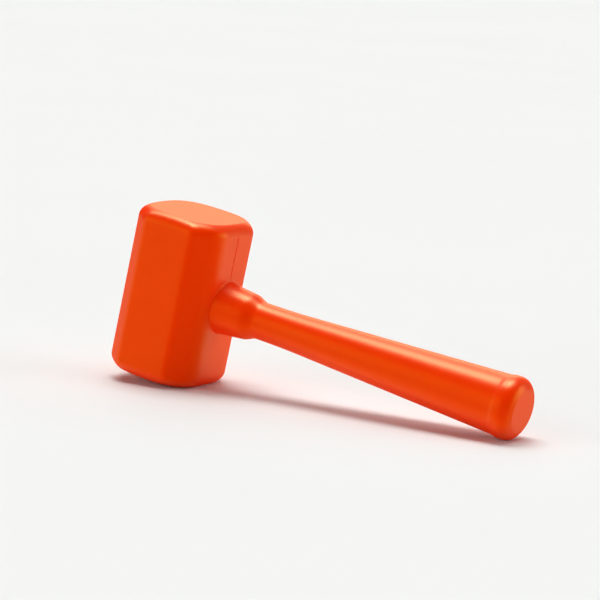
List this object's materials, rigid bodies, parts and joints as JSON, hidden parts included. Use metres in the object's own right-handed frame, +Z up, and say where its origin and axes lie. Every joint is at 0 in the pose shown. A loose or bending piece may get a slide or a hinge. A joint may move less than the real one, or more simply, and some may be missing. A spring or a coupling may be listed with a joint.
{
  "type": "dead blow hammer",
  "caption": "Dead blow hammer: a cast polyurethane casing over a steel canister and handle rod, with loose steel shot that slides in the head.",
  "frame": {"origin": "on the bench, under the middle of the hammer's box as it lies at rest on the head's lower edge and the butt's rim", "axes": "+X along the bench from the head towards the butt, +Y across the hammer, square to its middle plane, +Z up"},
  "size_m": [0.2692, 0.0624, 0.1066],
  "materials": {
    "casing": "satin",
    "canister": "satin",
    "rod": "satin",
    "shot": "satin"
  },
  "bodies": {
    "hammer": {"casing_left": "casing", "casing_right": "casing", "butt_plug": "casing", "canister_tube": "canister", "canister_cap_upper": "canister", "canister_cap_lower": "canister", "fill_plug": "canister", "rod_socket": "rod", "handle_rod": "rod", "socket_pin": "rod", "rod_collar_1": "rod", "rod_collar_2": "rod", "rod_collar_3": "rod", "rod_collar_4": "rod"},
    "shot": {"shot_layer_1": "shot", "shot_layer_2": "shot", "shot_layer_3": "shot", "shot_layer_4": "shot", "shot_layer_5": "shot", "shot_layer_6": "shot"}
  },
  "joints": [
    {"name": "shot_slide", "type": "slide", "parent": "hammer", "child": "shot", "axis": [0.1534, 0, 0.9882], "range_m": [0, 0.018]}
  ]
}
